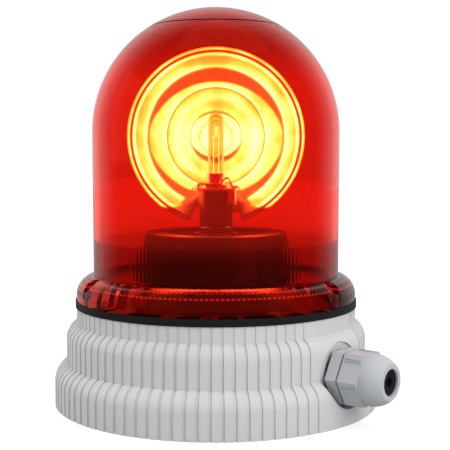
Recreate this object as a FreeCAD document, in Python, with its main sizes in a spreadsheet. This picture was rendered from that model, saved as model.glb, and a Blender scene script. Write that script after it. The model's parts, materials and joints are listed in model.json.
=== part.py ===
import FreeCAD, Part
import math
import os
import re
import Sketcher

# Rotating warning beacon. Millimetres, +Z up, origin on the underside of the base at the dome's axis.
# The cable gland points along +X.

SIZES = {
    # Base moulding: three fluted tiers, each a drum with a rounded shoulder, and one wall thickness.
    "low_radius": 82.5, "low_band": 22.4, "low_shoulder": 10,
    "mid_radius": 76.5, "mid_band": 20, "mid_shoulder": 8.5,
    "top_radius": 71.3, "top_band": 7, "shell_wall": 3, "ledge_thickness": 3,
    "flute_pitch": 4, "flute_width": 1.15, "flute_depth": 0.6, "top_flute_depth": 0.35,
    "plain_zone": 32,
    # Bottom cover and its fasteners.
    "cover_thickness": 3.5, "cover_gap": 0.3, "cover_boss_radius": 4.2, "cover_boss_height": 11,
    "cover_screw_radius": 2, "cover_screw_length": 10, "cover_head_radius": 3.8,
    "cover_head_inset": 0.2, "cover_screw_turn": 45,
    "mount_circle": 50, "mount_hole_radius": 3.25, "mount_turn": 90,
    # Gasket and dome.
    "gasket_proud": 0.6, "gasket_thickness": 3.5,
    "foot_radius": 71.3, "foot_lip": 2.7, "foot_shoulder": 9.8,
    "dome_radius": 62.7, "dome_wall": 3, "dome_rise": 147.1, "seam_radius": 30, "seam_depth": 0.5,
    "dome_screw_inset": 4, "dome_screw_turn": 5.5, "dome_screw_radius": 1.9,
    "dome_screw_length": 15, "dome_head_radius": 3.3, "dome_head_height": 2.4,
    "dome_washer_thickness": 0.8, "dome_pocket_radius": 4, "dome_boss_radius": 4,
    "dome_pocket_floor": 3.2,
    # Cable gland, M20 thread.
    "gland_height": 23, "gland_seat_depth": 1, "gland_wall": 5, "gland_thread_radius": 10,
    "gland_thread_length": 14, "gland_across_flats": 24, "gland_flange_length": 5.6,
    "gland_bore_radius": 6.6, "gland_washer_thickness": 1.2, "gland_spot_gap": 1.55,
    "gland_block_angle": 30, "gland_locknut_flats": 26, "gland_locknut_length": 4.5,
    "gland_collet_radius": 9, "gland_collet_length": 9, "gland_slit": 1,
    "gland_nut_length": 20.5, "gland_nut_hex_length": 10, "gland_mouth_radius": 6.3,
    "gland_nut_wall": 2.2, "gland_seal_hole": 2.4,
    # Chassis plate and the fixed lamp pillar.
    "chassis_gap": 0.7, "chassis_thickness": 2, "chassis_seat": 3.5, "chassis_boss_radius": 4.5,
    "chassis_screw_turn": 30, "chassis_screw_radius": 1.5, "chassis_screw_length": 10,
    "chassis_head_radius": 2.8, "chassis_head_height": 1.8, "chassis_boss_depth": 10,
    "pillar_flange_radius": 15, "pillar_flange_thickness": 2, "journal_radius": 9,
    "journal_rise": 2.5, "pillar_radius": 8.5, "pillar_bevel": 0.5, "barrel_gap": 0.5,
    "spigot_radius": 8, "spigot_length": 6, "pillar_nut_flats": 22, "pillar_nut_length": 3.5,
    "lamp_plate_drop": 26.1, "lamp_plate_radius": 12.35, "lamp_plate_thickness": 1.3,
    # Running gear of the turntable.
    "running_fit": 0.05, "thrust_thickness": 1, "end_float": 0.2, "bush_wall": 2,
    "hub_wall": 2, "hub_shoulder": 3, "thrust_rim": 0.4,
    "ring_thickness": 1, "ring_rim": 2.5, "ring_depth": 0.6,
    # Turntable drum.
    "table_height": 24, "table_top_radius": 35.9, "table_bottom_radius": 41,
    "table_wall": 2, "table_recess_radius": 25.6, "table_recess_depth": 1.5,
    # Spur gears.
    "gear_module": 1.25, "gear_teeth": 56, "pinion_teeth": 12, "gear_clearance": 4.1,
    "gear_thickness": 5, "gear_step": 2, "pinion_overhang": 0.5, "backlash": 0.12,
    "gear_web_hole": 3.5, "gear_web_circle": 23,
    # Motor.
    "motor_radius": 12, "motor_length": 30, "motor_collar_radius": 4, "motor_cap_length": 4,
    "motor_cap_step": 1, "shaft_radius": 1.5, "motor_screw_circle": 8, "motor_screw_radius": 1.2,
    "motor_screw_length": 5, "motor_head_radius": 2.2, "motor_head_height": 1.4,
    # Mirror: five stepped zones, each a parabola that is a little shorter than the one inside it.
    "mirror_turn": -50, "rim_gap": 3.3, "rim_width": 3, "rim_thickness": 1.6,
    "zone_one": 8.8, "zone_two": 14, "zone_three": 26, "zone_four": 36, "zone_five": 42.5,
    "focal_length": 23.5, "focal_step": 0.5, "mirror_wall": 1.7, "mirror_boss_radius": 7,
    "mirror_boss_length": 2.8, "pillar_clearance": 1.05, "plate_clearance": 2.3,
    "bracket_width": 16, "bracket_thickness": 1.5, "bracket_inset": 0.4,
    "bracket_screw_spacing": 9, "bracket_screw_radius": 1.2, "bracket_head_radius": 2.2,
    "bracket_head_height": 1.4, "bracket_screw_length": 3.2,
    # Halogen bulb.
    "bulb_flange_radius": 7.25, "bulb_flange_thickness": 1.5, "bulb_barrel_radius": 5.4,
    "bulb_barrel_length": 9, "bulb_neck_radius": 4.8, "bulb_neck_length": 5.8,
    "glass_radius": 4.1, "glass_wall": 0.8, "bulb_length": 38.2,
    "filament_rise": 2.6, "filament_length": 5, "filament_radius": 0.7, "filament_post": 0.4,
    "filament_post_offset": 1.8,
    # Lamp terminal beside the pillar and the spring clip over the bulb's flange.
    "terminal_turn": 2, "terminal_flat": 7.05, "block_width": 10, "block_height": 4.1,
    "lug_height": 6.7, "lug_radius": 2.6, "clip_turn": 40, "clip_gap": 0.2, "clip_width": 1,
    "clip_thickness": 0.8, "clip_rise": 3.8, "clip_inner": 2, "clip_crest": 5.6, "clip_outer": 8.8,
    "clip_end": 11.4, "clip_back": 9.5,
    # Circuit board on four posts of the bottom cover, with its parts and the leads.
    "board_x": 12, "board_y": -24, "board_length": 64, "board_width": 40, "board_thickness": 1.6,
    "board_edge": 4, "post_height": 5.5, "post_radius": 2.6, "board_screw_radius": 1,
    "board_screw_length": 5, "board_head_radius": 1.9, "board_head_height": 1.2,
    "terminal_length": 26, "terminal_width": 11, "terminal_height": 12, "terminal_screw_radius": 1.8,
    "terminal_well_depth": 3, "terminal_entry_radius": 2,
    "capacitor_radius": 5, "capacitor_height": 12, "choke_radius": 7, "choke_hole": 3,
    "choke_height": 6, "lead_radius": 0.9, "lead_bend": 4, "lead_spread": 2,
    # General clearance round plain fasteners.
    "hole_clearance": 0.2,
}

# Sizes that follow from the driving ones.
DERIVED = {
    "mid_top": "low_band + mid_band",
    "base_height": "low_band + mid_band + top_band",
    "ledge_height": "base_height - ledge_thickness",
    "cover_screw_circle": "low_radius - shell_wall - 1.25 * cover_boss_radius",
    "foot_height": "base_height + gasket_thickness",
    "foot_turn_height": "foot_height + foot_lip",
    "dome_height": "foot_height + dome_rise",
    "dome_centre": "dome_height - dome_radius",
    "dome_inner_radius": "dome_radius - dome_wall",
    "dome_screw_circle": "foot_radius - dome_screw_inset",
    "chassis_radius": "dome_inner_radius - chassis_gap",
    "ledge_radius": "chassis_radius - chassis_seat",
    "chassis_screw_circle": "ledge_radius - chassis_seat",
    "deck_height": "base_height + chassis_thickness",
    "pillar_seat": "deck_height + pillar_flange_thickness",
    "thrust_top": "pillar_seat + thrust_thickness",
    "hub_bottom": "thrust_top + end_float",
    "gear_bottom": "deck_height + gear_clearance",
    "gear_top": "gear_bottom + gear_thickness",
    "table_bottom": "gear_top + gear_step",
    "table_top": "table_bottom + table_height",
    "hub_top": "table_top - table_recess_depth",
    "bush_radius": "journal_radius + running_fit + bush_wall",
    "hub_bore": "bush_radius + running_fit",
    "hub_radius": "hub_bore + hub_wall",
    "gear_centres": "gear_module * (gear_teeth + pinion_teeth) / 2",
    "rim_radius": "zone_five + rim_width",
    "mirror_height": "table_top + rim_gap + rim_radius",
    "mirror_back": "focal_length + mirror_wall",
    "bracket_front": "mirror_back + mirror_boss_length",
    "bracket_back": "bracket_front + bracket_thickness",
    "bracket_toe": "table_top_radius - bracket_inset",
    "lamp_plate_top": "mirror_height - lamp_plate_drop",
    "lamp_plate_bottom": "lamp_plate_top - lamp_plate_thickness",
    "bulb_flange_top": "lamp_plate_top + bulb_flange_thickness",
    "bulb_neck_top": "bulb_flange_top + bulb_neck_length",
    "bulb_tip": "lamp_plate_top + bulb_length",
    "filament_height": "mirror_height + filament_rise",
    "gland_seat": "mid_radius - gland_seat_depth",
    "gland_inner_seat": "gland_seat - gland_wall",
    "gland_block_radius": "gland_inner_seat - gland_locknut_length",
    "hexagon_start": "gland_seat + gland_washer_thickness",
    "hexagon_end": "hexagon_start + gland_flange_length",
    "gland_nut_start": "hexagon_end + gland_slit",
    "collet_end": "hexagon_end + gland_collet_length",
    "dome_boss_foot": "gland_height + gland_locknut_flats / 2 + 1",
    "pillar_bore_radius": "bulb_barrel_radius + barrel_gap",
    "thrust_radius": "hub_radius + thrust_rim",
    "hub_shoulder_radius": "hub_radius + hub_shoulder",
    "ring_radius": "journal_radius + ring_rim",
    "journal_top": "table_top + journal_rise",
    "clearance_top": "lamp_plate_top + plate_clearance",
    "clearance_radius": "lamp_plate_radius + pillar_clearance",
    "block_bottom": "lamp_plate_bottom - lug_height - block_height",
    "block_reach": "lamp_plate_radius - 0.2",
    "board_bottom": "cover_thickness + post_height",
    "board_top": "board_bottom + board_thickness",
}

doc = FreeCAD.newDocument("Beacon")
sheet = doc.addObject("Spreadsheet::Sheet", "Sizes")
for row, (alias, number) in enumerate(SIZES.items(), start=1):
    sheet.set(f"A{row}", alias)
    sheet.set(f"B{row}", str(number))
    sheet.setAlias(f"B{row}", alias)
doc.recompute()

nodes = []


def expand(expression):
    """Write an expression out in the sheet's own names."""
    return re.sub(r"[a-z][a-z_]+",
                  lambda word: f"({expand(DERIVED[word[0]])})" if word[0] in DERIVED else word[0],
                  expression)


def size(expression):
    """Value of an expression in the sheet's names and the derived ones."""
    return float(sheet.evalExpression(expand(expression)))


def bind(thing, path, expression):
    """Tie one property to the sheet."""
    linked = re.sub(r"[a-z][a-z_]+", lambda word: "Sizes." + word[0] if word[0] in SIZES else word[0],
                    expand(expression))
    thing.setExpression(path, linked)


def placement(x, y, z, turn_by, axis=(0, 0, 1)):
    """A move, and a turn about a local axis."""
    return FreeCAD.Placement(FreeCAD.Vector(size(x), size(y), size(z)),
                             FreeCAD.Rotation(FreeCAD.Vector(*axis), size(turn_by)))


def new_body(label):
    """An empty body that becomes one node."""
    body = doc.addObject("PartDesign::Body", label)
    body.Label = label
    nodes.append(body)
    return body


def origin_item(body, role):
    """One of the body's own planes or axes."""
    return next(item for item in body.Origin.OriginFeatures if item.Role == role)


def new_sketch(body, name, role, offset=("0", "0", "0"), turn_by="0", axis=(0, 0, 1)):
    """An empty sketch on an origin plane, moved and turned in the plane's own directions."""
    sketch = body.newObject("Sketcher::SketchObject", name)
    sketch.AttachmentSupport = [(origin_item(body, role), "")]
    sketch.MapMode = "FlatFace"
    sketch.AttachmentOffset = placement(*offset, turn_by, axis)
    for axis, expression in zip("xyz", offset):
        bind(sketch, f"AttachmentOffset.Base.{axis}", expression)
    bind(sketch, "AttachmentOffset.Rotation.Angle", f"({turn_by}) * 1 deg")
    return sketch


def fix_number(sketch, kind, places, expression):
    """Add a dimension and tie it to the sheet."""
    index = sketch.addConstraint(Sketcher.Constraint(kind, *places, size(expression)))
    bind(sketch, f"Constraints[{index}]", expression)


def arc_between(first, last, radius):
    """The arc from first to last; a negative radius bends clockwise."""
    chord = last - first
    half = chord.Length / 2
    rise = math.sqrt(max(radius * radius - half * half, 0))
    left = FreeCAD.Vector(-chord.y, chord.x, 0).normalize()
    centre = first + chord / 2 + left * (rise if radius > 0 else -rise)
    begin, end = (first, last) if radius > 0 else (last, first)
    angles = [math.atan2(point.y - centre.y, point.x - centre.x) for point in (begin, end)]
    circle = Part.Circle(centre, FreeCAD.Vector(0, 0, 1), abs(radius))
    return Part.ArcOfCircle(circle, angles[0], angles[1])


def outline(sketch, corners):
    """A closed outline. A corner is (across, up) or (across, up, radius): the radius is that of
    the arc which arrives at this corner, led by a minus where the arc bends clockwise."""
    first_item = sketch.GeometryCount
    points = [FreeCAD.Vector(size(corner[0]), size(corner[1]), 0) for corner in corners]
    starts = []
    for index, corner in enumerate(corners):
        before = points[index - 1]
        if len(corner) == 3:
            radius = size(corner[2])
            item = sketch.addGeometry(arc_between(before, points[index], radius))
            starts.append((item, 1, 2) if radius > 0 else (item, 2, 1))
            fix_number(sketch, "Radius", [item], str(corner[2]).lstrip("-"))
        else:
            item = sketch.addGeometry(Part.LineSegment(before, points[index]))
            starts.append((item, 1, 2))
    for index, (item, start, end) in enumerate(starts):
        following = starts[(index + 1) % len(starts)]
        sketch.addConstraint(Sketcher.Constraint("Coincident", item, end, following[0], following[1]))
        fix_number(sketch, "DistanceX", [-1, 1, item, end], corners[index][0])
        fix_number(sketch, "DistanceY", [-1, 1, item, end], corners[index][1])
    return first_item


def circle(sketch, across, up, radius):
    """A circle with its centre and radius tied to the sheet."""
    centre = FreeCAD.Vector(size(across), size(up), 0)
    item = sketch.addGeometry(Part.Circle(centre, FreeCAD.Vector(0, 0, 1), size(radius)))
    fix_number(sketch, "Radius", [item], radius)
    fix_number(sketch, "DistanceX", [-1, 1, item, 3], across)
    fix_number(sketch, "DistanceY", [-1, 1, item, 3], up)


def hexagon(sketch, across_flats):
    """A hexagon about the sketch's origin, with corners to the left and right."""
    corner = f"{across_flats} / sqrt(3)"
    sides = [("1", "0"), ("0.5", "0.5"), ("-0.5", "0.5"), ("-1", "0"), ("-0.5", "-0.5"), ("0.5", "-0.5")]
    outline(sketch, [(f"{x} * {corner}", f"{y} * {across_flats}") for x, y in sides])


def add_feature(body, kind, name, sketch):
    """A sketch-based feature at the end of the body."""
    feature = body.newObject("PartDesign::" + kind, name)
    feature.Profile = (sketch, [""])
    sketch.Visibility = False
    return feature


def turn(body, name, corners, axis="V_Axis", kind="Revolution", offset=("0", "0", "0"), angle=None,
         swing="0"):
    """Turn an outline about the vertical or horizontal axis of its sketch. The sketch lies on the XZ
    plane, swung about the vertical, and a part turn spreads to both sides of it."""
    sketch = new_sketch(body, name + "Profile", "XZ_Plane", offset, swing, (0, 1, 0))
    outline(sketch, corners)
    feature = add_feature(body, kind, name, sketch)
    feature.ReferenceAxis = (sketch, [axis])
    if angle:
        feature.Midplane = True
        bind(feature, "Angle", angle)
    return feature


def extrude(body, name, sketch, length, kind="Pad", reverse=False):
    """Pad or pocket a sketch by a length."""
    feature = add_feature(body, kind, name, sketch)
    bind(feature, "Length", length)
    feature.Reversed = reverse
    return feature


def around(body, name, features, count, angle=None):
    """Repeat features about the body's Z axis."""
    pattern = body.newObject("PartDesign::PolarPattern", name)
    pattern.Originals = features
    pattern.Axis = (origin_item(body, "Z_Axis"), [""])
    pattern.Occurrences = count
    if angle:
        bind(pattern, "Angle", angle)
    body.Tip = pattern
    return pattern


def place(node, x="0", y="0", z="0", turn_by="0"):
    """Put a finished node in its place."""
    node.Placement = placement(x, y, z, turn_by)
    for axis, expression in zip("xyz", (x, y, z)):
        bind(node, f"Placement.Base.{axis}", expression)
    bind(node, "Placement.Rotation.Angle", f"({turn_by}) * 1 deg")


def ring(label, inner, outer, bottom, top):
    """A plain ring about the Z axis."""
    body = new_body(label)
    turn(body, "Ring", [(inner, bottom), (outer, bottom), (outer, top), (inner, top)])
    return body


def screws(label, circle_radius, seat, shank, length, head, head_height, count, flat_head=False):
    """A set of screws, heads up, on a circle about the Z axis."""
    body = new_body(label)
    body.AllowCompound = True
    head_foot = shank if flat_head else head
    corners = [("0", f"{seat} - {length}"), (shank, f"{seat} - {length}"), (shank, seat),
               (head_foot, seat), (head, f"{seat} + {head_height}"), ("0", f"{seat} + {head_height}")]
    if flat_head:
        corners.remove((head_foot, seat))
    screw = turn(body, "Screw", corners, offset=(circle_radius, "0", "0"))
    doc.recompute()
    around(body, "Set", [screw], count)
    return body


def drum(radius, height, shoulder, inset="0", core="0"):
    """Outline of a tier: a drum from the floor up, with a rounded shoulder, all drawn in by an inset."""
    wall, top = f"{radius} - {inset}", f"{height} - {inset}"
    return [(core, "0"), (wall, "0"), (wall, f"{height} - {shoulder}"),
            (f"{radius} - {shoulder}", top, f"{shoulder} - {inset}"), (core, top)]


def flutes(body):
    """Cut one shallow flute up the wall of each tier, and repeat it but for the plain zone."""
    count = int(size("(360 - plain_zone) / flute_pitch")) + 1
    for name, radius, foot, head, depth in (
            ("Low", "low_radius", "-1", "low_band - low_shoulder", "flute_depth"),
            ("Mid", "mid_radius", "low_band", "mid_top - mid_shoulder", "flute_depth"),
            ("Top", "top_radius", "mid_top", "base_height + 1", "top_flute_depth")):
        flute = turn(body, name + "Flute", [
            (f"{radius} - {depth}", foot), (f"{radius} + 1", foot), (f"{radius} + 1", head),
            (f"{radius} - {depth}", head)], kind="Groove", angle="flute_width", swing="plain_zone / 2")
        around(body, name + "Flutes", [flute], count, f"{count - 1} * flute_pitch")


def base_housing():
    """The stepped base moulding with its flutes, ledge, gland block and screw bosses."""
    body = new_body("base_housing")
    turn(body, "LowTier", drum("low_radius", "low_band", "low_shoulder"))
    turn(body, "MidTier", drum("mid_radius", "mid_top", "mid_shoulder"))
    turn(body, "TopTier", [("0", "0"), ("top_radius", "0"), ("top_radius", "base_height"),
                           ("0", "base_height")])
    turn(body, "LowHollow", drum("low_radius", "low_band", "low_shoulder", "shell_wall"), kind="Groove")
    turn(body, "MidHollow", drum("mid_radius", "mid_top", "mid_shoulder", "shell_wall"), kind="Groove")
    inner = "top_radius - shell_wall"
    turn(body, "TopHollow", [("0", "0"), (inner, "0"), (inner, "ledge_height"), ("0", "ledge_height")],
         kind="Groove")
    turn(body, "Mouth", [("0", "ledge_height - 1"), ("ledge_radius", "ledge_height - 1"),
                         ("ledge_radius", "base_height"), ("0", "base_height")], kind="Groove")
    for name, radius, height, shoulder in (("Low", "low_radius", "low_band", "low_shoulder"),
                                           ("Mid", "mid_radius", "mid_top", "mid_shoulder")):
        block = drum(radius, height, shoulder, "shell_wall / 2", "gland_block_radius")
        block[0] = ("gland_block_radius", "cover_thickness + cover_gap")
        block[1] = (block[1][0], "cover_thickness + cover_gap")
        turn(body, name + "GlandBlock", block, angle="gland_block_angle")

    spot = new_sketch(body, "SpotFaceCircle", "YZ_Plane", ("0", "gland_height", "gland_seat"))
    circle(spot, "0", "0", "gland_across_flats / sqrt(3) + gland_spot_gap")
    extrude(body, "SpotFace", spot, "low_radius - gland_seat + shell_wall", "Pocket", reverse=True)
    nut_seat = new_sketch(body, "NutSeatCircle", "YZ_Plane", ("0", "gland_height", "gland_inner_seat"))
    circle(nut_seat, "0", "0", "gland_locknut_flats / sqrt(3) + 1")
    extrude(body, "NutSeat", nut_seat, "gland_inner_seat - gland_block_radius + 4", "Pocket")
    bore = new_sketch(body, "GlandBoreCircle", "YZ_Plane", ("0", "gland_height", "gland_seat + 1"))
    circle(bore, "0", "0", "gland_thread_radius + hole_clearance")
    extrude(body, "GlandBore", bore, "gland_seat - gland_inner_seat + 2", "Pocket")

    dome_boss = new_sketch(body, "DomeBossCircle", "XY_Plane", ("0", "0", "ledge_height"), "dome_screw_turn")
    circle(dome_boss, "dome_screw_circle", "0", "dome_boss_radius")
    dome_bosses = extrude(body, "DomeBoss", dome_boss, "ledge_height - dome_boss_foot", reverse=True)
    around(body, "DomeBosses", [dome_bosses], 3)
    dome_pilot = new_sketch(body, "DomePilotCircle", "XY_Plane", ("0", "0", "base_height"),
                            "dome_screw_turn")
    circle(dome_pilot, "dome_screw_circle", "0", "dome_screw_radius + running_fit")
    dome_pilots = extrude(body, "DomePilot", dome_pilot, "base_height - dome_boss_foot - 1", "Pocket")
    around(body, "DomePilots", [dome_pilots], 3)

    chassis_boss = new_sketch(body, "ChassisBossOutline", "XY_Plane", ("0", "0", "base_height"),
                              "chassis_screw_turn")
    half = "chassis_boss_radius"
    outline(chassis_boss, [
        ("chassis_screw_circle", f"-{half}", half), ("top_radius - shell_wall", f"-{half}"),
        ("top_radius - shell_wall", half), ("chassis_screw_circle", half),
        (f"chassis_screw_circle - {half}", "0", half)])
    chassis_bosses = extrude(body, "ChassisBoss", chassis_boss, "chassis_boss_depth + ledge_thickness",
                             reverse=True)
    around(body, "ChassisBosses", [chassis_bosses], 3)
    chassis_pilot = new_sketch(body, "ChassisPilotCircle", "XY_Plane", ("0", "0", "base_height"),
                               "chassis_screw_turn")
    circle(chassis_pilot, "chassis_screw_circle", "0", "chassis_screw_radius + running_fit")
    chassis_pilots = extrude(body, "ChassisPilot", chassis_pilot, "chassis_boss_depth", "Pocket")
    around(body, "ChassisPilots", [chassis_pilots], 3)

    cover_boss = new_sketch(body, "CoverBossOutline", "XY_Plane", ("0", "0", "cover_thickness"),
                            "cover_screw_turn")
    half = "cover_boss_radius"
    outline(cover_boss, [
        ("cover_screw_circle", f"-{half}", half), ("low_radius - shell_wall", f"-{half}"),
        ("low_radius - shell_wall", half), ("cover_screw_circle", half),
        (f"cover_screw_circle - {half}", "0", half)])
    cover_bosses = extrude(body, "CoverBoss", cover_boss, "cover_boss_height")
    around(body, "CoverBosses", [cover_bosses], 4)
    cover_pilot = new_sketch(body, "CoverPilotCircle", "XY_Plane", ("0", "0", "cover_thickness"),
                             "cover_screw_turn")
    circle(cover_pilot, "cover_screw_circle", "0", "cover_screw_radius + running_fit")
    cover_pilots = extrude(body, "CoverPilot", cover_pilot, "cover_boss_height - 1", "Pocket", reverse=True)
    around(body, "CoverPilots", [cover_pilots], 4)
    flutes(body)


def board_corners():
    """Where the circuit board's four screws stand."""
    across, along = "(board_length / 2 - board_edge)", "(board_width / 2 - board_edge)"
    return [(f"board_x {a} {across}", f"board_y {b} {along}") for a in "+-" for b in "+-"]


def bottom_cover():
    """The disc that closes the base, with the three mounting holes and four countersunk screws."""
    body = new_body("bottom_cover")
    rim = "low_radius - shell_wall - cover_gap"
    sink = "cover_head_radius - cover_screw_radius"
    turn(body, "Disc", [("0", "0"), (rim, "0"), (rim, "cover_thickness"), ("0", "cover_thickness")])
    mount = new_sketch(body, "MountCircle", "XY_Plane", turn_by="mount_turn - cover_screw_turn")
    circle(mount, "mount_circle", "0", "mount_hole_radius")
    around(body, "MountHoles", [extrude(body, "MountHole", mount, "cover_thickness", "Pocket",
                                        reverse=True)], 3)
    hole = "cover_screw_radius + hole_clearance"
    wide = f"{hole} + {sink} + cover_head_inset"
    sink_hole = turn(body, "SinkHole", [
        ("0", "0"), (wide, "0"), (hole, f"{wide} - ({hole})"), (hole, "cover_thickness"),
        ("0", "cover_thickness")], kind="Groove", offset=("cover_screw_circle", "0", "0"))
    around(body, "SinkHoles", [sink_hole], 4)
    posts = new_sketch(body, "BoardPosts", "XY_Plane", ("0", "0", "cover_thickness"), "-cover_screw_turn")
    pilots = new_sketch(body, "BoardPilots", "XY_Plane", ("0", "0", "board_bottom"), "-cover_screw_turn")
    for x, y in board_corners():
        circle(posts, x, y, "post_radius")
        circle(pilots, x, y, "board_screw_radius + running_fit")
    extrude(body, "Posts", posts, "post_height")
    extrude(body, "Pilots", pilots, "post_height", "Pocket")
    place(body, turn_by="cover_screw_turn")

    fasteners = new_body("bottom_cover_screws")
    fasteners.AllowCompound = True
    screw = turn(fasteners, "Screw", [
        ("0", "cover_head_inset"), ("cover_head_radius", "cover_head_inset"),
        ("cover_screw_radius", f"cover_head_inset + {sink}"),
        ("cover_screw_radius", "cover_screw_length"), ("0", "cover_screw_length")],
        offset=("cover_screw_circle", "0", "0"))
    around(fasteners, "Set", [screw], 4)
    place(fasteners, turn_by="cover_screw_turn")


def dome():
    """The clear dome with its clamping foot, the gasket under it and the three screws."""
    lens = new_body("dome_lens")
    seam_height = "(dome_centre + sqrt(dome_radius^2 - seam_radius^2))"
    turn(lens, "Foot", [
        ("dome_inner_radius", "foot_height"), ("foot_radius", "foot_height"),
        ("foot_radius", "foot_turn_height"),
        ("foot_radius - foot_shoulder", "foot_turn_height + foot_shoulder", "foot_shoulder"),
        ("dome_inner_radius", "foot_turn_height + foot_shoulder")])
    turn(lens, "Shell", [
        ("dome_inner_radius", "foot_height"), ("dome_radius", "foot_height"),
        ("dome_radius", "dome_centre"), ("0", "dome_height", "dome_radius"),
        ("0", "dome_height - dome_wall"),
        ("dome_inner_radius", "dome_centre", "-dome_inner_radius")])
    turn(lens, "Seam", [
        ("seam_radius", f"{seam_height} - seam_depth"), ("seam_radius + seam_depth", seam_height),
        ("seam_radius", f"{seam_height} + seam_depth")], kind="Groove")
    pocket = new_sketch(lens, "PocketCircle", "XY_Plane", ("0", "0", "foot_height + dome_pocket_floor"),
                        "dome_screw_turn")
    circle(pocket, "dome_screw_circle", "0", "dome_pocket_radius")
    around(lens, "Pockets", [extrude(lens, "Pocket", pocket, "foot_shoulder + foot_lip", "Pocket",
                                     reverse=True)], 3)
    hole = new_sketch(lens, "ScrewHoleCircle", "XY_Plane", ("0", "0", "foot_height"), "dome_screw_turn")
    circle(hole, "dome_screw_circle", "0", "dome_screw_radius + hole_clearance")
    around(lens, "ScrewHoles", [extrude(lens, "ScrewHole", hole, "dome_pocket_floor", "Pocket",
                                        reverse=True)], 3)
    place(lens)

    gasket = ring("dome_gasket", "chassis_radius + gasket_proud", "foot_radius + gasket_proud",
                  "base_height", "foot_height")
    hole = new_sketch(gasket, "ScrewHoleCircle", "XY_Plane", ("0", "0", "base_height"), "dome_screw_turn")
    circle(hole, "dome_screw_circle", "0", "dome_screw_radius + hole_clearance")
    around(gasket, "ScrewHoles", [extrude(gasket, "ScrewHole", hole, "gasket_thickness", "Pocket",
                                          reverse=True)], 3)
    place(gasket)

    washers = new_body("dome_screw_washers")
    washers.AllowCompound = True
    low, high = "foot_height + dome_pocket_floor", "foot_height + dome_pocket_floor + dome_washer_thickness"
    inner, outer = "dome_screw_radius + hole_clearance", "dome_head_radius + hole_clearance"
    washer = turn(washers, "Washer", [(inner, low), (outer, low), (outer, high), (inner, high)],
                  offset=("dome_screw_circle", "0", "0"))
    around(washers, "Set", [washer], 3)
    place(washers, turn_by="dome_screw_turn")
    place(screws("dome_screws", "dome_screw_circle", high, "dome_screw_radius", "dome_screw_length",
                 "dome_head_radius", "dome_head_height", 3), turn_by="dome_screw_turn")


def gland():
    """The cable gland: body, washer, locknut, seal and the clamping nut that turns."""
    bore = "gland_bore_radius"
    body = new_body("gland_body")
    hexagon_sketch = new_sketch(body, "FlangeHexagon", "YZ_Plane", ("0", "0", "hexagon_start"))
    hexagon(hexagon_sketch, "gland_across_flats")
    extrude(body, "Flange", hexagon_sketch, "gland_flange_length")
    thread_end = "hexagon_start - gland_thread_length"
    turn(body, "Thread", [(thread_end, "0"), ("hexagon_start", "0"), ("hexagon_start", "gland_thread_radius"),
                          (thread_end, "gland_thread_radius")], "H_Axis")
    turn(body, "Collet", [("hexagon_end", "0"), ("collet_end", "0"), ("collet_end", "gland_collet_radius"),
                          ("hexagon_end", "gland_collet_radius")], "H_Axis")
    turn(body, "Bore", [(thread_end, "0"), ("collet_end", "0"), ("collet_end", bore), (thread_end, bore)],
         "H_Axis", "Groove")
    place(body, z="gland_height")

    washer = new_body("gland_washer")
    inner = "gland_thread_radius + hole_clearance"
    outer = "gland_across_flats / 2 - hole_clearance"
    turn(washer, "Ring", [("gland_seat", inner), ("hexagon_start", inner), ("hexagon_start", outer),
                          ("gland_seat", outer)], "H_Axis")
    place(washer, z="gland_height")

    locknut = new_body("gland_locknut")
    start = "gland_inner_seat - gland_locknut_length"
    locknut_sketch = new_sketch(locknut, "NutHexagon", "YZ_Plane", ("0", "0", start))
    hexagon(locknut_sketch, "gland_locknut_flats")
    extrude(locknut, "Nut", locknut_sketch, "gland_locknut_length")
    turn(locknut, "Bore", [(start, "0"), ("gland_inner_seat", "0"), ("gland_inner_seat", inner),
                           (start, inner)], "H_Axis", "Groove")
    place(locknut, z="gland_height")

    seal = new_body("gland_seal")
    seal_end = "gland_nut_start + gland_nut_length - 1"
    outer = "gland_mouth_radius - hole_clearance"
    turn(seal, "Sleeve", [
        ("collet_end - 2", "gland_seal_hole"), (seal_end, "gland_seal_hole"), (seal_end, outer),
        ("collet_end - 2", outer)], "H_Axis")
    place(seal, z="gland_height")

    nut = new_body("gland_nut")
    nut_hexagon = new_sketch(nut, "GripHexagon", "YZ_Plane", ("0", "0", "gland_nut_start"))
    hexagon(nut_hexagon, "gland_across_flats")
    extrude(nut, "Grip", nut_hexagon, "gland_nut_hex_length")
    dome_start = "gland_nut_start + gland_nut_hex_length"
    dome_end = "gland_nut_start + gland_nut_length"
    rim = "gland_mouth_radius + gland_nut_wall"
    turn(nut, "DomeEnd", [
        (dome_start, "0"), (dome_end, "0"), (dome_end, rim),
        (dome_start, "gland_across_flats / 2", "gland_nut_length - gland_nut_hex_length + 2")], "H_Axis")
    cavity = "gland_collet_radius + 2 * hole_clearance"
    cavity_end = "collet_end + 1"
    turn(nut, "Bore", [
        ("gland_nut_start", "0"), (dome_end, "0"), (dome_end, "gland_mouth_radius"),
        (cavity_end, "gland_mouth_radius"), (cavity_end, cavity), ("gland_nut_start", cavity)],
        "H_Axis", "Groove")
    place(nut, z="gland_height")


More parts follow.
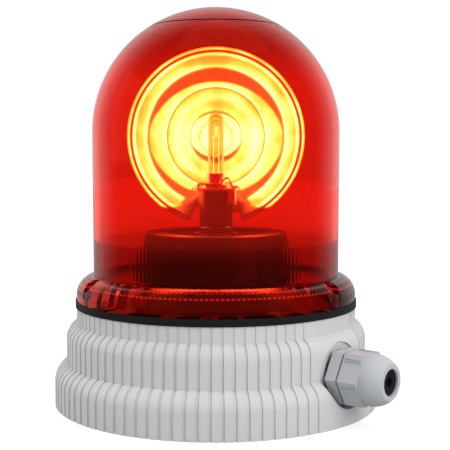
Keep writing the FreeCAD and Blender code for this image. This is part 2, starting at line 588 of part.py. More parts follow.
def chassis():
    """The plate that closes the top of the base and carries the pillar and the motor."""
    body = ring("chassis_plate", "spigot_radius + running_fit", "chassis_radius",
                "base_height", "deck_height")
    hole = new_sketch(body, "ScrewHoleCircle", "XY_Plane", ("0", "0", "base_height"),
                      "chassis_screw_turn")
    circle(hole, "chassis_screw_circle", "0", "chassis_screw_radius + hole_clearance")
    around(body, "ScrewHoles", [extrude(body, "ScrewHole", hole, "chassis_thickness", "Pocket",
                                        reverse=True)], 3)
    motor_hole = new_sketch(body, "MotorHoleCircle", "XY_Plane", ("0", "gear_centres", "base_height"))
    circle(motor_hole, "0", "0", "motor_collar_radius + hole_clearance")
    for side in ("-motor_screw_circle", "motor_screw_circle"):
        circle(motor_hole, side, "0", "motor_screw_radius + hole_clearance")
    extrude(body, "MotorHole", motor_hole, "chassis_thickness", "Pocket", reverse=True)
    place(body)
    place(screws("chassis_screws", "chassis_screw_circle", "deck_height", "chassis_screw_radius",
                 "chassis_screw_length", "chassis_head_radius", "chassis_head_height", 3),
          turn_by="chassis_screw_turn")


def lamp_pillar():
    """The hollow fixed pillar, its nut under the plate, and the parts that locate the turntable."""
    body = new_body("lamp_pillar")
    foot = "base_height - spigot_length + chassis_thickness"
    groove_low = "hub_top + end_float"
    groove_high = f"{groove_low} + ring_thickness"
    groove = "journal_radius - ring_depth"
    turn(body, "Column", [
        ("pillar_bore_radius", foot), ("spigot_radius", foot), ("spigot_radius", "deck_height"),
        ("pillar_flange_radius", "deck_height"), ("pillar_flange_radius", "pillar_seat"),
        ("journal_radius", "pillar_seat"), ("journal_radius", groove_low), (groove, groove_low),
        (groove, groove_high), ("journal_radius", groove_high), ("journal_radius", "journal_top"),
        ("pillar_radius", "journal_top + pillar_bevel"), ("pillar_radius", "lamp_plate_bottom"),
        ("pillar_bore_radius", "lamp_plate_bottom")])
    flat = new_sketch(body, "TerminalFlatOutline", "XY_Plane", ("0", "0", "block_bottom - clip_gap"),
                      "terminal_turn")
    outline(flat, [("terminal_flat", "-pillar_radius"), ("pillar_radius + 1", "-pillar_radius"),
                   ("pillar_radius + 1", "pillar_radius"), ("terminal_flat", "pillar_radius")])
    extrude(body, "TerminalFlat", flat, "lamp_plate_bottom - block_bottom + clip_gap", "Pocket",
            reverse=True)
    place(body)

    nut = new_body("pillar_nut")
    low = "base_height - pillar_nut_length"
    nut_sketch = new_sketch(nut, "NutHexagon", "XY_Plane", ("0", "0", low))
    hexagon(nut_sketch, "pillar_nut_flats")
    extrude(nut, "Nut", nut_sketch, "pillar_nut_length")
    turn(nut, "Bore", [("0", low), ("spigot_radius + running_fit", low),
                       ("spigot_radius + running_fit", "base_height"), ("0", "base_height")],
         kind="Groove")
    place(nut)

    place(ring("thrust_washer", "journal_radius + running_fit", "thrust_radius", "pillar_seat", "thrust_top"))
    retainer = ring("retaining_ring", f"{groove} + running_fit", "ring_radius", groove_low, groove_high)
    gap = new_sketch(retainer, "GapOutline", "XY_Plane", ("0", "0", groove_low))
    outline(gap, [("0", "-1.5"), ("ring_radius + 1", "-1.5"), ("ring_radius + 1", "1.5"), ("0", "1.5")])
    extrude(retainer, "Gap", gap, "ring_thickness", "Pocket", reverse=True)
    place(retainer)


def lamp():
    """The lamp plate on the pillar and the halogen bulb that stands in it."""
    plate = ring("lamp_plate", "bulb_barrel_radius + hole_clearance", "lamp_plate_radius",
                 "lamp_plate_bottom", "lamp_plate_top")
    place(plate)
    cap = new_body("bulb_cap")
    turn(cap, "Cap", [
        ("0", "lamp_plate_top - bulb_barrel_length"),
        ("bulb_barrel_radius", "lamp_plate_top - bulb_barrel_length"),
        ("bulb_barrel_radius", "lamp_plate_top"), ("bulb_flange_radius", "lamp_plate_top"),
        ("bulb_flange_radius", "bulb_flange_top"), ("bulb_neck_radius", "bulb_flange_top"),
        ("bulb_neck_radius", "bulb_neck_top"), ("0", "bulb_neck_top")])
    place(cap)
    glass = new_body("bulb_glass")
    inner = "(glass_radius - glass_wall)"
    turn(glass, "Tube", [
        (inner, "bulb_neck_top"), ("glass_radius", "bulb_neck_top"),
        ("glass_radius", "bulb_tip - glass_radius"),
        ("0", "bulb_tip", "glass_radius"), ("0", "bulb_tip - glass_wall"),
        (inner, "bulb_tip - glass_radius", f"-{inner}")])
    place(glass)
    filament = new_body("bulb_filament")
    low = "filament_height - filament_length / 2"
    high = "filament_height + filament_length / 2"
    turn(filament, "Coil", [("0", low), ("filament_radius", low), ("filament_radius", high), ("0", high)])
    post = "filament_post"
    arm = "filament_post_offset"
    for name, side, top in (("Low", "-", low), ("High", "", high)):
        wire = new_sketch(filament, name + "PostOutline", "XZ_Plane")
        outline(wire, [
            (f"{side}({arm} - {post} / 2)", "bulb_neck_top"),
            (f"{side}({arm} + {post} / 2)", "bulb_neck_top"),
            (f"{side}({arm} + {post} / 2)", top), ("0", top), ("0", f"{top} - {post}"),
            (f"{side}({arm} - {post} / 2)", f"{top} - {post}")])
        feature = extrude(filament, name + "Post", wire, post)
        feature.Midplane = True
    place(filament)


def lamp_fittings():
    """The terminal on the pillar's flat and the spring clip that holds the bulb down."""
    block = new_body("lamp_terminal")
    section = new_sketch(block, "BlockOutline", "XY_Plane", ("0", "0", "block_bottom"), "terminal_turn")
    half = "block_width / 2"
    outline(section, [
        ("terminal_flat", f"-{half}"), ("block_reach - 2", f"-{half}"), ("block_reach", "-block_width / 4"),
        ("block_reach", "block_width / 4"), ("block_reach - 2", half), ("terminal_flat", half)])
    extrude(block, "Block", section, "block_height")
    place(block)
    lug = new_body("lamp_terminal_lug")
    seat = "block_bottom + block_height"
    turn(lug, "Lug", [("0", seat), ("lug_radius", seat), ("lug_radius", "lamp_plate_bottom"),
                      ("0", "lamp_plate_bottom")],
         offset=("terminal_flat + lug_radius", "0", "0"))
    place(lug, turn_by="terminal_turn")

    clip = new_body("lamp_clip")
    low, high = "bulb_flange_top", "bulb_flange_top + clip_thickness"
    crest = "bulb_flange_top + clip_rise"
    slim = "clip_thickness"
    arm_outline = [
        ("-clip_back", "lamp_plate_top"), (f"-clip_back + {slim}", "lamp_plate_top"),
        (f"-clip_back + {slim}", low), ("clip_inner", low), (f"clip_crest - {slim}", f"{crest} - {slim}"),
        (f"clip_crest + {slim}", f"{crest} - {slim}"), (f"clip_outer - {slim}", "lamp_plate_top"),
        ("clip_end", "lamp_plate_top"), ("clip_end", f"lamp_plate_top + {slim}"),
        ("clip_outer", f"lamp_plate_top + {slim}"), (f"clip_crest + {slim}", crest),
        (f"clip_crest - {slim}", crest), (f"clip_inner - {slim} / 2", high), ("-clip_back", high)]
    for name, side in (("Near", "-"), ("Far", "")):
        middle = f"{side}(bulb_neck_radius + clip_gap + clip_width / 2)"
        arm = new_sketch(clip, name + "ArmOutline", "XZ_Plane", ("0", "0", middle))
        outline(arm, arm_outline)
        extrude(clip, name + "Arm", arm, "clip_width").Midplane = True
    bar = new_sketch(clip, "BarOutline", "XZ_Plane")
    outline(bar, [("-clip_back", low), (f"-clip_back + {slim}", low), (f"-clip_back + {slim}", high),
                  ("-clip_back", high)])
    extrude(clip, "Bar", bar, "2 * (bulb_neck_radius + clip_gap + clip_width)").Midplane = True
    place(clip, turn_by="clip_turn")


def circuit():
    """The circuit board in the base with its screws, terminal block, capacitors and choke."""
    board = new_body("circuit_board")
    panel = new_sketch(board, "PanelOutline", "XY_Plane", ("board_x", "board_y", "board_bottom"))
    long, wide = "board_length / 2", "board_width / 2"
    outline(panel, [(f"-{long}", f"-{wide}"), (long, f"-{wide}"), (long, wide), (f"-{long}", wide)])
    extrude(board, "Panel", panel, "board_thickness")
    holes = new_sketch(board, "ScrewHoles", "XY_Plane", ("0", "0", "board_bottom"))
    fasteners = new_body("board_screws")
    fasteners.AllowCompound = True
    tip = "board_top - board_screw_length"
    crown = "board_top + board_head_height"
    for number, (x, y) in enumerate(board_corners()):
        circle(holes, x, y, "board_screw_radius + hole_clearance")
        turn(fasteners, f"Screw{number}", [
            ("0", tip), ("board_screw_radius", tip), ("board_screw_radius", "board_top"),
            ("board_head_radius", "board_top"), ("board_head_radius", crown), ("0", crown)],
            offset=(x, "0", f"-({y})"))
    extrude(board, "Holes", holes, "board_thickness", "Pocket", reverse=True)
    place(board)
    place(fasteners)

    block = new_body("terminal_block")
    edge = "board_x + board_length / 2 - board_edge"
    plan = new_sketch(block, "BlockOutline", "XZ_Plane", ("0", "0", "-board_y"))
    top = "board_top + terminal_height"
    outline(plan, [
        (f"{edge} - terminal_width", "board_top"), (edge, "board_top"), (edge, f"{top} - 4"),
        (f"{edge} - 3", top), (f"{edge} - terminal_width", top)])
    extrude(block, "Block", plan, "terminal_length").Midplane = True
    pitch = "terminal_length / 3"
    wells = new_sketch(block, "Wells", "XY_Plane", ("0", "0", top))
    entries = new_sketch(block, "Entries", "YZ_Plane", ("0", "board_top + terminal_height / 3", edge))
    clamps = new_body("terminal_screws")
    clamps.AllowCompound = True
    middle = f"{edge} - 3 - (terminal_width - 3) / 2"
    floor = f"{top} - terminal_well_depth"
    for number, shift in enumerate((f"board_y - {pitch}", "board_y", f"board_y + {pitch}")):
        circle(wells, middle, shift, "terminal_screw_radius + hole_clearance")
        circle(entries, shift, "0", "terminal_entry_radius")
        turn(clamps, f"Clamp{number}", [
            ("0", floor), ("terminal_screw_radius", floor), ("terminal_screw_radius", f"{top} - 1"),
            ("0", f"{top} - 1")], offset=(middle, "0", f"-({shift})"))
    extrude(block, "Well", wells, "terminal_well_depth", "Pocket")
    extrude(block, "Entry", entries, "terminal_width / 3", "Pocket")
    place(block)
    place(clamps)

    cans = new_body("board_capacitors")
    cans.AllowCompound = True
    for number, shift in enumerate(("board_length / 8", "-board_length / 8")):
        turn(cans, f"Can{number}", [
            ("0", "board_top"), ("capacitor_radius", "board_top"),
            ("capacitor_radius", "board_top + capacitor_height - 1"),
            ("capacitor_radius - 1", "board_top + capacitor_height", "1"),
            ("0", "board_top + capacitor_height")],
            offset=(f"board_x + {shift}", "0", "-(board_y - board_width / 4)"))
    place(cans)
    choke = new_body("board_choke")
    turn(choke, "Toroid", [
        ("choke_hole", "board_top"), ("choke_radius", "board_top"),
        ("choke_radius", "board_top + choke_height"), ("choke_hole", "board_top + choke_height")],
        offset=("board_x - board_length / 3", "0", "-board_y"))
    place(choke)


def rounded_path(points, bend):
    """A path of straight runs joined by arcs of one radius."""
    edges, start = [], points[0]
    for before, corner, after in zip(points, points[1:], points[2:]):
        come, leave = (before - corner).normalize(), (after - corner).normalize()
        half = come.getAngle(leave) / 2
        middle = corner + (come + leave).normalize() * (bend / math.sin(half) - bend)
        first, last = corner + come * (bend / math.tan(half)), corner + leave * (bend / math.tan(half))
        edges += [Part.LineSegment(start, first).toShape(), Part.Arc(first, middle, last).toShape()]
        start = last
    return Part.Wire(edges + [Part.LineSegment(start, points[-1]).toShape()])


def leads(label, routes):
    """Insulated leads as one node, each a tube along its own route."""
    node = doc.addObject("Part::Feature", label)
    node.Label = label
    nodes.append(node)
    tubes = []
    for route in routes:
        points = [FreeCAD.Vector(*(size(item) for item in point)) for point in route]
        path = rounded_path(points, size("lead_bend"))
        profile = Part.Wire(Part.makeCircle(size("lead_radius"), points[0], points[1] - points[0]))
        tubes.append(path.makePipeShell([profile], True, True))
    node.Shape = Part.makeCompound(tubes)
    place(node)


def wiring():
    """The leads from the board up the pillar to the bulb, and to the motor."""
    lift = "board_top + 3 * lead_bend"
    floor = "board_bottom"
    lamp_routes, motor_routes = [], []
    for side in ("-", ""):
        across = f"{side}lead_spread"
        lamp_routes.append([(across, "board_y + board_width / 4", "board_top"),
                            (across, "board_y + board_width / 4", lift), (across, "0", lift),
                            (across, "0", "lamp_plate_top - bulb_barrel_length")])
        motor_routes.append([(across, "gear_centres", "base_height - motor_length"),
                             (across, "gear_centres", floor),
                             (across, "board_y + board_width / 2 + 6", floor),
                             (across, "board_y + board_width / 2 + 6", "board_top + 2.5 * lead_bend"),
                             (across, "board_y + board_width / 2 - 4", "board_top + 2.5 * lead_bend"),
                             (across, "board_y + board_width / 2 - 4", "board_top")])
    leads("lamp_leads", lamp_routes)
    leads("motor_leads", motor_routes)


def turntable():
    """The drum that carries the mirror, with its bush and the driven gear."""
    body = new_body("turntable")
    slope = "(table_bottom_radius - table_top_radius) / (table_top - table_bottom)"
    under = "(hub_top - table_wall)"
    inner_top = f"table_top_radius - table_wall + (table_top - {under}) * {slope}"
    turn(body, "Drum", [
        ("hub_bore", "hub_bottom"), ("hub_radius", "hub_bottom"), ("hub_radius", "gear_top"),
        ("hub_shoulder_radius", "gear_top"), ("hub_shoulder_radius", under), (inner_top, under),
        ("table_bottom_radius - table_wall", "table_bottom"), ("table_bottom_radius", "table_bottom"),
        ("table_top_radius", "table_top"), ("table_recess_radius", "table_top"),
        ("table_recess_radius", "hub_top"), ("hub_bore", "hub_top")])
    bracket_holes = new_sketch(body, "BracketHoles", "XY_Plane", ("0", "0", "table_top"), "mirror_turn")
    across = "-(bracket_back + bracket_toe) / 2"
    for side in ("-", ""):
        circle(bracket_holes, across, f"{side}bracket_screw_spacing / 2",
               "bracket_screw_radius + running_fit")
    extrude(body, "BracketHole", bracket_holes, "bracket_screw_length", "Pocket")
    place(body)
    place(ring("turntable_bush", "journal_radius + running_fit", "bush_radius", "hub_bottom", "hub_top"))


def gear_face(teeth, bore):
    """The outline of a spur gear with involute flanks and a tooth centred on +X, as a face."""
    pressure = math.radians(20)
    pitch = size("gear_module") * teeth / 2
    base = pitch * math.cos(pressure)
    tip = pitch + size("gear_module")
    root = pitch - 1.25 * size("gear_module")
    half_tooth = (math.pi / 2 - size("backlash") / size("gear_module")) / teeth

    def half_angle(radius):
        """Half the angle that the tooth spans at a radius."""
        angle = math.acos(min(base / radius, 1))
        return half_tooth + math.tan(pressure) - pressure - math.tan(angle) + angle

    foot = max(base, root)
    flank_radii = [foot + (tip - foot) * step / 3 for step in range(4)]
    points = []
    for tooth in range(teeth):
        middle = 2 * math.pi * tooth / teeth
        flank = [(root, half_angle(foot))] if root < base else []
        flank += [(radius, half_angle(radius)) for radius in flank_radii]
        side = [(radius, middle - angle) for radius, angle in flank]
        side += [(radius, middle + angle) for radius, angle in reversed(flank)]
        points += [FreeCAD.Vector(r * math.cos(a), r * math.sin(a), 0) for r, a in side]
    teeth_face = Part.Face(Part.makePolygon(points + points[:1]))
    return teeth_face.cut(Part.Face(Part.Wire(Part.makeCircle(bore))))


def gears():
    """The driven gear under the drum and the motor's pinion, cut as involute spur gears."""
    driven = doc.addObject("Part::Feature", "driven_gear")
    driven.Label = "driven_gear"
    nodes.append(driven)
    face = gear_face(int(size("gear_teeth")), size("hub_radius + running_fit"))
    for hole in range(6):
        turn_by = math.radians(30 + 60 * hole)
        centre = FreeCAD.Vector(math.cos(turn_by), math.sin(turn_by), 0) * size("gear_web_circle")
        circle_edge = Part.makeCircle(size("gear_web_hole"), centre)
        face = face.cut(Part.Face(Part.Wire(circle_edge)))
    driven.Shape = face.extrude(FreeCAD.Vector(0, 0, size("gear_thickness")))
    place(driven, z="gear_bottom")

    pinion = doc.addObject("Part::Feature", "motor_pinion")
    pinion.Label = "motor_pinion"
    nodes.append(pinion)
    face = gear_face(int(size("pinion_teeth")), size("shaft_radius + running_fit"))
    pinion.Shape = face.extrude(FreeCAD.Vector(0, 0, size("gear_thickness + 2 * pinion_overhang")))
    place(pinion, y="gear_centres", z="gear_bottom - pinion_overhang", turn_by="180 / pinion_teeth")


def motor():
    """The small motor that hangs under the chassis plate, its shaft and its two screws."""
    can = new_body("motor_can")
    low = "(base_height - motor_length)"
    turn(can, "Can", [
        ("0", f"{low} + motor_cap_length"), ("motor_radius", f"{low} + motor_cap_length"),
        ("motor_radius", "base_height"), ("motor_collar_radius", "base_height"),
        ("motor_collar_radius", "deck_height"), ("0", "deck_height")])
    bore = "shaft_radius + running_fit"
    turn(can, "ShaftBore", [
        ("0", f"{low} + motor_cap_length"), (bore, f"{low} + motor_cap_length"), (bore, "deck_height"),
        ("0", "deck_height")], kind="Groove")
    tapped = new_sketch(can, "TappedHoles", "XY_Plane", ("0", "0", "base_height"))
    for side in ("-motor_screw_circle", "motor_screw_circle"):
        circle(tapped, side, "0", "motor_screw_radius + running_fit")
    extrude(can, "Tapped", tapped, "motor_screw_length", "Pocket")
    place(can, y="gear_centres")

    cap = new_body("motor_end_cap")
    turn(cap, "Cap", [("0", low), ("motor_radius - 1", low), ("motor_radius - 1", f"{low} + 1"),
                      ("motor_radius - 1", f"{low} + motor_cap_length"), ("0", f"{low} + motor_cap_length")])
    place(cap, y="gear_centres")

    shaft = new_body("motor_shaft")
    shaft_low = f"{low} + motor_cap_length + end_float"
    shaft_high = "gear_top + pinion_overhang + shaft_radius"
    turn(shaft, "Shaft", [("0", shaft_low), ("shaft_radius", shaft_low), ("shaft_radius", shaft_high),
                          ("0", shaft_high)])
    place(shaft, y="gear_centres")

    fasteners = new_body("motor_screws")
    fasteners.AllowCompound = True
    foot = "deck_height - motor_screw_length"
    top = "deck_height + motor_head_height"
    screw = turn(fasteners, "Screw", [
        ("0", foot), ("motor_screw_radius", foot), ("motor_screw_radius", "deck_height"),
        ("motor_head_radius", "deck_height"), ("motor_head_radius", top), ("0", top)],
        offset=("motor_screw_circle", "0", "0"))
    around(fasteners, "Set", [screw], 2)
    place(fasteners, y="gear_centres")


def mirror():
    """The stepped reflector, the bracket behind it and the bracket's two screws."""

    def focal(step):
        """Focal length of a zone, counted from the middle."""
        return f"(focal_length - {step} * focal_step)"

    def depth(step, radius):
        """How far a zone lies behind the turning axis, which holds its focus."""
        return f"(({radius})^2 / (4 * {focal(step)}) - {focal(step)})"

    rise = "(zone_one^2 / (4 * focal_length))"
    corners = [(depth(0, "0"), "0"),
               (depth(0, "zone_one"), "zone_one", f"-(({rise}^2 + zone_one^2) / (2 * {rise}))")]
    inner_radius = "zone_one"
    for step, radius in enumerate(("zone_two", "zone_three", "zone_four", "zone_five"), start=1):
        corners.append((depth(step, inner_radius), inner_radius))
        middle = f"(({inner_radius} + {radius}) / 2)"
        bend = f"-(2 * {focal(step)} * (1 + ({middle} / (2 * {focal(step)}))^2)^1.5)"
        corners.append((depth(step, radius), radius, bend))
        inner_radius = radius
    rim_front = depth(4, "zone_five")
    rim_back = f"({rim_front} - rim_thickness)"
    back_edge = "(zone_five + rim_thickness)"
    reach = f"({rim_back} + mirror_back)"
    back_bend = f"(({reach})^2 + {back_edge}^2) / (2 * {reach})"
    corners += [(rim_front, "rim_radius"), (rim_back, "rim_radius"), (rim_back, back_edge),
                ("-mirror_back", "0", f"({back_bend})")]

    dish = new_body("reflector")
    turn(dish, "Dish", corners, "H_Axis")
    turn(dish, "BackBoss", [
        ("-bracket_front", "0"), ("-mirror_back + 1", "0"), ("-mirror_back + 1", "mirror_boss_radius"),
        ("-bracket_front", "mirror_boss_radius")], "H_Axis")
    clearance = new_sketch(dish, "PillarClearanceCircle", "XY_Plane",
                           ("0", "0", "clearance_top - mirror_height"))
    circle(clearance, "0", "0", "clearance_radius")
    extrude(dish, "PillarClearance", clearance, "rim_radius", "Pocket")
    place(dish, z="mirror_height", turn_by="mirror_turn")

    bracket = new_body("mirror_bracket")
    front, back, toe = "-bracket_front", "-bracket_back", "-bracket_toe"
    bent = new_sketch(bracket, "BentStrip", "XZ_Plane")
    outline(bent, [
        (toe, "table_top"), (front, "table_top"), (front, "mirror_height + mirror_boss_radius"),
        (back, "mirror_height + mirror_boss_radius"), (back, "table_top + bracket_thickness"),
        (toe, "table_top + bracket_thickness")])
    strip = extrude(bracket, "Strip", bent, "bracket_width")
    strip.Midplane = True
    across = "-(bracket_back + bracket_toe) / 2"
    holes = new_sketch(bracket, "ScrewHoles", "XY_Plane", ("0", "0", "table_top"))
    for side in ("-", ""):
        circle(holes, across, f"{side}bracket_screw_spacing / 2", "bracket_screw_radius + hole_clearance")
    extrude(bracket, "ScrewHole", holes, "bracket_thickness", "Pocket", reverse=True)
    place(bracket, turn_by="mirror_turn")

    fasteners = new_body("bracket_screws")
    fasteners.AllowCompound = True
    seat = "table_top + bracket_thickness"
    tip = f"{seat} - bracket_screw_length"
    top = f"{seat} + bracket_head_height"
    for name, side in (("Left", "-"), ("Right", "")):
        turn(fasteners, name, [
            ("0", tip), ("bracket_screw_radius", tip), ("bracket_screw_radius", seat),
            ("bracket_head_radius", seat), ("bracket_head_radius", top), ("0", top)],
            offset=(across, "0", f"{side}bracket_screw_spacing / 2"))
    place(fasteners, turn_by="mirror_turn")


base_housing()
bottom_cover()
dome()
gland()
chassis()
lamp_pillar()
lamp()
lamp_fittings()
circuit()
wiring()
turntable()
gears()
motor()
mirror()
doc.recompute()

failed = [thing.Label for thing in doc.Objects if "Invalid" in thing.State or "Error" in thing.State]
if failed:
    raise RuntimeError("did not build: " + ", ".join(failed))
for node in nodes:
    if node.Shape.isNull() or not node.Shape.isValid() or not node.Shape.Solids:
        raise RuntimeError(f"{node.Label} has no sound solid")

os.makedirs("parts", exist_ok=True)
for node in nodes:
    node.Shape.exportStep(f"parts/{node.Label}.step")
    print(node.Label, len(node.Shape.Solids), round(node.Shape.Volume, 1))
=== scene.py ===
"""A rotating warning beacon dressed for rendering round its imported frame. Metres, +Z up."""
import json
import math

import bpy
from mathutils import Matrix, Vector


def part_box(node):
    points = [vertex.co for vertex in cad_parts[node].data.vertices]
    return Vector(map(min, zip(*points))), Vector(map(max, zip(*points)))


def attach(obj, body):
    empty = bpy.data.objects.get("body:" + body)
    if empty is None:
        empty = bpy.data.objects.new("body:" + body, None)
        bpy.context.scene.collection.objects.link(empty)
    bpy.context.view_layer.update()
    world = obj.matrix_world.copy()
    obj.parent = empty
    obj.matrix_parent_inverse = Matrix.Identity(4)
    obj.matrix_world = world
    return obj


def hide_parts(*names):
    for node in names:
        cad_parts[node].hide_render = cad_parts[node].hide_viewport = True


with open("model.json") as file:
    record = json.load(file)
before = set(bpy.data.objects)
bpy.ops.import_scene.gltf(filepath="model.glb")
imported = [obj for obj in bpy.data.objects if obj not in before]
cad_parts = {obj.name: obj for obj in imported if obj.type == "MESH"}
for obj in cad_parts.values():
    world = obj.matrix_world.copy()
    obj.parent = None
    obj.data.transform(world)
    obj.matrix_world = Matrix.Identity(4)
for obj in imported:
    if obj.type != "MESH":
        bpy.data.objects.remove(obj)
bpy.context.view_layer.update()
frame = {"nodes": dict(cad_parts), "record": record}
nodes = frame["nodes"]
parts = frame["record"]["subparts"]
bodies = frame["record"]["behaviour"]["bodies"]

MM = 0.001
WELD = 1e-6
SMOOTH_ANGLE = math.radians(30)

# The base in millimetres: each tier's radius, the foot and top of its wall, and the shoulder above it
LOW_RADIUS = 82.5
LOW_TOP = 12.4
LOW_SHOULDER = 10
MID_RADIUS = 76.5
MID_FOOT = 21.7
MID_TOP = 33.9
MID_SHOULDER = 8.5
TOP_RADIUS = 71.3
TOP_FOOT = 41.8
BASE_TOP = 49.4

# The fluted skin over the base: its thickness, what keeps it inside the base's box, how far the moulding
# under it is drawn in and, at the shoulders, down, and how thick a shoulder's outer layer is taken to be
SKIN = 1.2
SKIN_SHY = 0.01
DRAWN_IN = 0.8
DRAWN_DOWN = 0.4
OUTER_LAYER = 0.7
SKIN_COLUMNS = 720
NEAR = 0.05

# The flutes: where they start and how far apart they are in degrees, and their depths in millimetres
FIRST_FLUTE = 16
FLUTE_STEP = 4
FLUTES = 83
FLUTE_WIDTH = 1.15
FLUTE_FLANK = 0.03
FLUTE_DEPTH = 0.6
TOP_FLUTE_DEPTH = 0.35

# The tiers as radius, foot, top, shoulder and depth of the grooves, and how a groove moves the corners
# where a shoulder meets the wall of a radius above it
TIERS = (
    (LOW_RADIUS - SKIN_SHY, 0, LOW_TOP, LOW_SHOULDER, FLUTE_DEPTH),
    (MID_RADIUS, MID_FOOT, MID_TOP, MID_SHOULDER, FLUTE_DEPTH),
    (TOP_RADIUS, TOP_FOOT, BASE_TOP, 0, TOP_FLUTE_DEPTH),
)
CORNERS = ((MID_RADIUS, (-FLUTE_DEPTH, -0.4)), (TOP_RADIUS, (-TOP_FLUTE_DEPTH, -0.5)))

# The cable gland in millimetres: its height, the radius of its round seat in the base with the middle
# and depth of the cut, half the nut's width across flats, and the nut's grip ribs
GLAND_HEIGHT = 23
SEAT_RADIUS = 15.4
SEAT_MIDDLE = 84
SEAT_DEPTH = 20
HALF_FLATS = 12
RIB_SIZE = (8.4, 0.55, 0.95)
RIB_MIDDLE = 5.4
RIB_PLACES = (4.53, 3.43)
RIB_BEVEL = 0.12

# The dome in millimetres, with a half ball on top of its straight wall. The two heights of the ribs also
# hold the wall's shading straight. The screw holes and pockets are given as radius, foot and top.
DOME_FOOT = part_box("dome_lens")[0][2] / MM
DOME_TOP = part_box("dome_lens")[1][2] / MM
DOME_RADIUS = 62.7
DOME_INSIDE = 59.7
BALL_HEIGHT = DOME_TOP - DOME_RADIUS
FOOT_RADIUS = 71.3
FOOT_EDGE = 55.6
FOOT_ROUND = 9.8
RIBS_FOOT = 66
RIBS_TOP = 83
SEAM_RADIUS = 33.5
SEAM_DEPTH = 0.5
SEAM_HALF = 0.5
SCREW_CIRCLE = 67.3
SCREW_TURNS = (5.5, 125.5, 245.5)
SCREW_HOLE = (2.1, 52, 57)
SCREW_POCKET = (4.0, 56.1, 70)

# The beam: its direction, the middle of the mirror and the mirror's radius
BEAM_TURN = math.radians(-50)
BEAM = (math.cos(BEAM_TURN), math.sin(BEAM_TURN), 0)
MIRROR_CENTRE = Vector((0, 0, 135.3 * MM))
MIRROR_RADIUS = 42.5 * MM

# The main camera: its turn round the beacon, its place in base radii, its lens and how it is aimed
CAMERA_TURN = math.radians(40)
CAMERA_SIDE = Vector((math.sin(CAMERA_TURN), -math.cos(CAMERA_TURN), 0))
CAMERA_DISTANCE = 6.325
CAMERA_HEIGHT = 1.5645
CAMERA_LENS = 81.44
CAMERA_DOWN = math.radians(4.29)
CAMERA_ASIDE = math.radians(0.506)


# Nodes

def new_material(name):
    """A node material, its node tree and its main shader."""
    material = bpy.data.materials.new(name)
    material.use_nodes = True
    return material, material.node_tree, material.node_tree.nodes["Principled BSDF"]


def add(tree, kind, **values):
    """A shader node with its plain inputs and properties set."""
    node = tree.nodes.new("ShaderNode" + kind)
    for name, value in values.items():
        label = name.replace("_", " ")
        if label in node.inputs:
            node.inputs[label].default_value = value
        else:
            setattr(node, name, value)
    return node


def combine(tree, operation, first, second):
    """Two values put together by a sum, a product or the like."""
    node = add(tree, "Math", operation=operation)
    tree.links.new(first, node.inputs[0])
    tree.links.new(second, node.inputs[1])
    return node.outputs["Value"]


def scaled(tree, value, factor, offset=0.0):
    """A value times a number, plus a number."""
    node = add(tree, "Math", operation="MULTIPLY_ADD")
    tree.links.new(value, node.inputs[0])
    node.inputs[1].default_value = factor
    node.inputs[2].default_value = offset
    return node.outputs["Value"]


def length(tree, vector):
    """The length of a vector."""
    node = add(tree, "VectorMath", operation="LENGTH")
    tree.links.new(vector, node.inputs[0])
    return node.outputs["Value"]


def along(tree, vector, direction):
    """How far a vector reaches in a direction."""
    node = add(tree, "VectorMath", operation="DOT_PRODUCT")
    tree.links.new(vector, node.inputs[0])
    node.inputs[1].default_value = direction
    return node.outputs["Value"]


def axes(tree, vector):
    """The node that takes a vector apart."""
    node = add(tree, "SeparateXYZ")
    tree.links.new(vector, node.inputs["Vector"])
    return node


def ease(tree, value, start, end, low=0.0, high=1.0):
    """A smooth step from one level to another between two limits of a value."""
    node = add(tree, "MapRange", interpolation_type="SMOOTHSTEP",
               From_Min=start, From_Max=end, To_Min=low, To_Max=high)
    tree.links.new(value, node.inputs["Value"])
    return node.outputs["Result"]


def spread_out(tree, value, start, end, low, high):
    """A straight run from one level to another between two limits of a value."""
    node = add(tree, "MapRange", From_Min=start, From_Max=end, To_Min=low, To_Max=high)
    tree.links.new(value, node.inputs["Value"])
    return node.outputs["Result"]


def band(tree, value, low, high, soft):
    """1 between two limits, fading to 0 over a soft edge outside each."""
    rise = ease(tree, value, low - soft, low)
    fall = ease(tree, value, high, high + soft, 1.0, 0.0)
    return combine(tree, "MULTIPLY", rise, fall)


def ramp(tree, value, stops):
    """A colour ramp through its stops, each a position and a colour."""
    node = add(tree, "ValToRGB")
    elements = node.color_ramp.elements
    elements[0].position = stops[0][0]
    elements[1].position = stops[-1][0]
    elements[0].color = (*stops[0][1], 1)
    elements[1].color = (*stops[-1][1], 1)
    for position, colour in stops[1:-1]:
        elements.new(position).color = (*colour, 1)
    tree.links.new(value, node.inputs["Fac"])
    return node.outputs["Color"]


def wave_round(tree, across, count):
    """A wave from 0 to 1 that repeats a number of times round the upright axis."""
    turn = combine(tree, "ARCTAN2", across.outputs["Y"], across.outputs["X"])
    wave = add(tree, "Math", operation="SINE")
    tree.links.new(scaled(tree, turn, count), wave.inputs[0])
    return scaled(tree, wave.outputs["Value"], 0.5, 0.5)


# Materials

